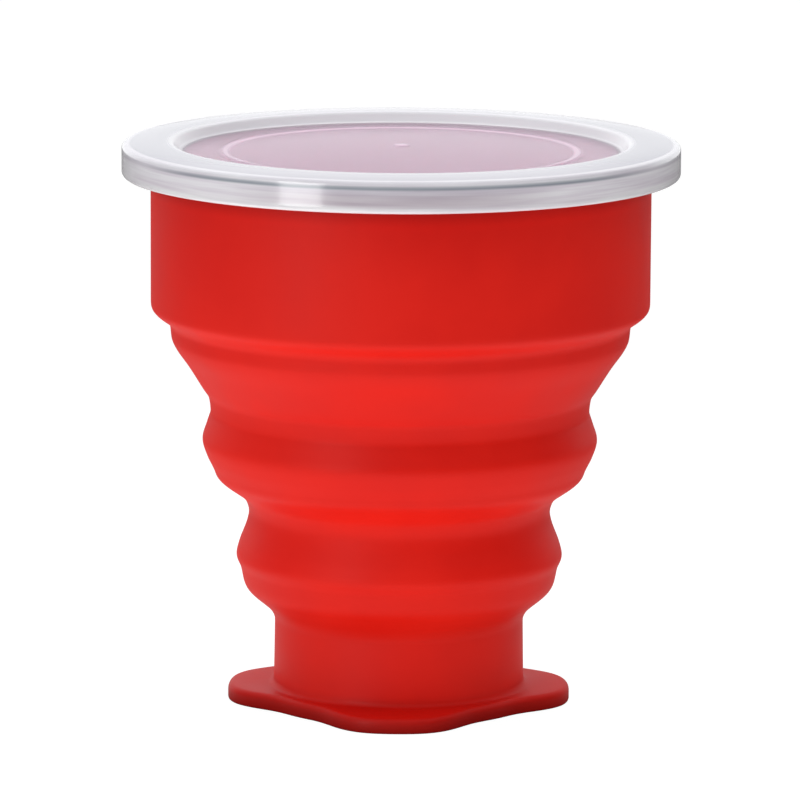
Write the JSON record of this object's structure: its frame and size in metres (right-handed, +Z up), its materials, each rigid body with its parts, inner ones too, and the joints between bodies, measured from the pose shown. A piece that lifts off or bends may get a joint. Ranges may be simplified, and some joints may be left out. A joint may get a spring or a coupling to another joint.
{
  "type": "collapsible travel cup",
  "caption": "Collapsible silicone travel cup: a stepped round wall that folds down ring by ring, a base plate with pull tabs, and a frosted press-on lid.",
  "frame": {"origin": "centre of the base plate's underside, on the surface the cup stands on", "axes": "+Z up along the cup's axis; +X and +Y each through a pull tab of the base plate"},
  "size_m": [0.088, 0.088, 0.0895],
  "materials": {
    "silicone": "satin",
    "lid_plastic": "satin"
  },
  "bodies": {
    "foot": {"base_plate": "silicone", "foot_wall": "silicone"},
    "lower_ring": {"lower_web": "silicone", "lower_ring": "silicone"},
    "upper_ring": {"middle_web": "silicone", "upper_ring": "silicone"},
    "rim": {"upper_web": "silicone", "rim_band": "silicone", "rim_lip": "silicone"},
    "lid": {"lid": "lid_plastic"}
  },
  "joints": [
    {"name": "lower_fold", "type": "slide", "parent": "foot", "child": "lower_ring", "axis": [0, 0, 1], "range_m": [-0.016, 0], "deforming": ["lower_web"]},
    {"name": "middle_fold", "type": "slide", "parent": "lower_ring", "child": "upper_ring", "axis": [0, 0, 1], "range_m": [-0.0205, 0], "deforming": ["middle_web"]},
    {"name": "upper_fold", "type": "slide", "parent": "upper_ring", "child": "rim", "axis": [0, 0, 1], "range_m": [-0.021, 0], "deforming": ["upper_web"]},
    {"name": "lid_lift", "type": "slide", "parent": "rim", "child": "lid", "axis": [0, 0, 1], "range_m": [0, 0.06]}
  ]
}
